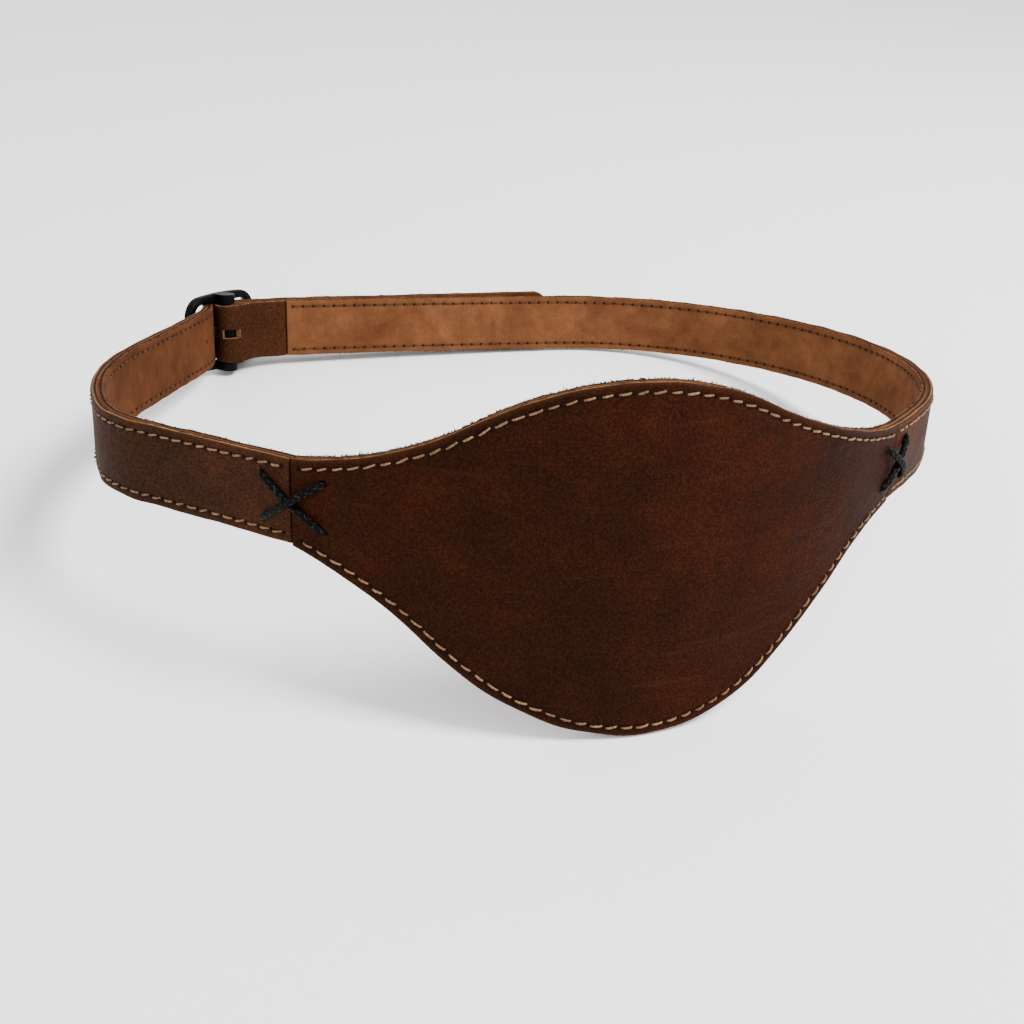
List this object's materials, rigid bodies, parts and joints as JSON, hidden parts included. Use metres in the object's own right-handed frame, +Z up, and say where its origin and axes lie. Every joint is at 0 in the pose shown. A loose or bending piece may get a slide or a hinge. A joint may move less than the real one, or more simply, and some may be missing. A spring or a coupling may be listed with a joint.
{
  "type": "leather eye patch",
  "caption": "Two-ply leather eye patch whose curved, stitched patch is cross-laced to straps that close behind the head with a centre-bar buckle.",
  "frame": {"origin": "middle of the bounding box, on the surface it stands on", "axes": "+X to the right as the patch's outer face is seen from in front, which is also the longest extent; +Y from the patch to the back of the head; +Z up"},
  "size_m": [0.2012, 0.1876, 0.067],
  "materials": {
    "leather_face": "oiled dark brown leather, slightly satin, mottled",
    "leather_lining": "light tan suede, flesh side",
    "thread": "waxed tan thread",
    "lace": "braided waxed black lace",
    "buckle_black": "satin black plating"
  },
  "bodies": {
    "band": {"patch_face": "leather_face", "patch_lining": "leather_lining", "billet_face": "leather_face", "billet_lining": "leather_lining", "buckle_strap_face": "leather_face", "buckle_strap_lining": "leather_lining", "patch_stitching_top": "thread", "patch_stitching_bottom": "thread", "billet_stitching": "thread", "buckle_strap_stitching_top": "thread", "buckle_strap_stitching_bottom": "thread", "left_cross_lacing": "lace", "right_cross_lacing": "lace"},
    "buckle": {"buckle_frame": "buckle_black", "buckle_centre_pin": "buckle_black"},
    "prong": {"buckle_prong": "buckle_black"}
  },
  "joints": [
    {"name": "buckle_rock", "type": "hinge", "parent": "band", "child": "buckle", "pos_m": [-0.06464, 0.08001, 0.01218], "axis": [0.0305, 0.1851, 0.9823], "range_deg": [-2, 2]},
    {"name": "prong_lift", "type": "hinge", "parent": "buckle", "child": "prong", "pos_m": [-0.06464, 0.08001, 0.01218], "axis": [-0.0305, -0.1851, -0.9823], "range_deg": [0, 30]}
  ]
}
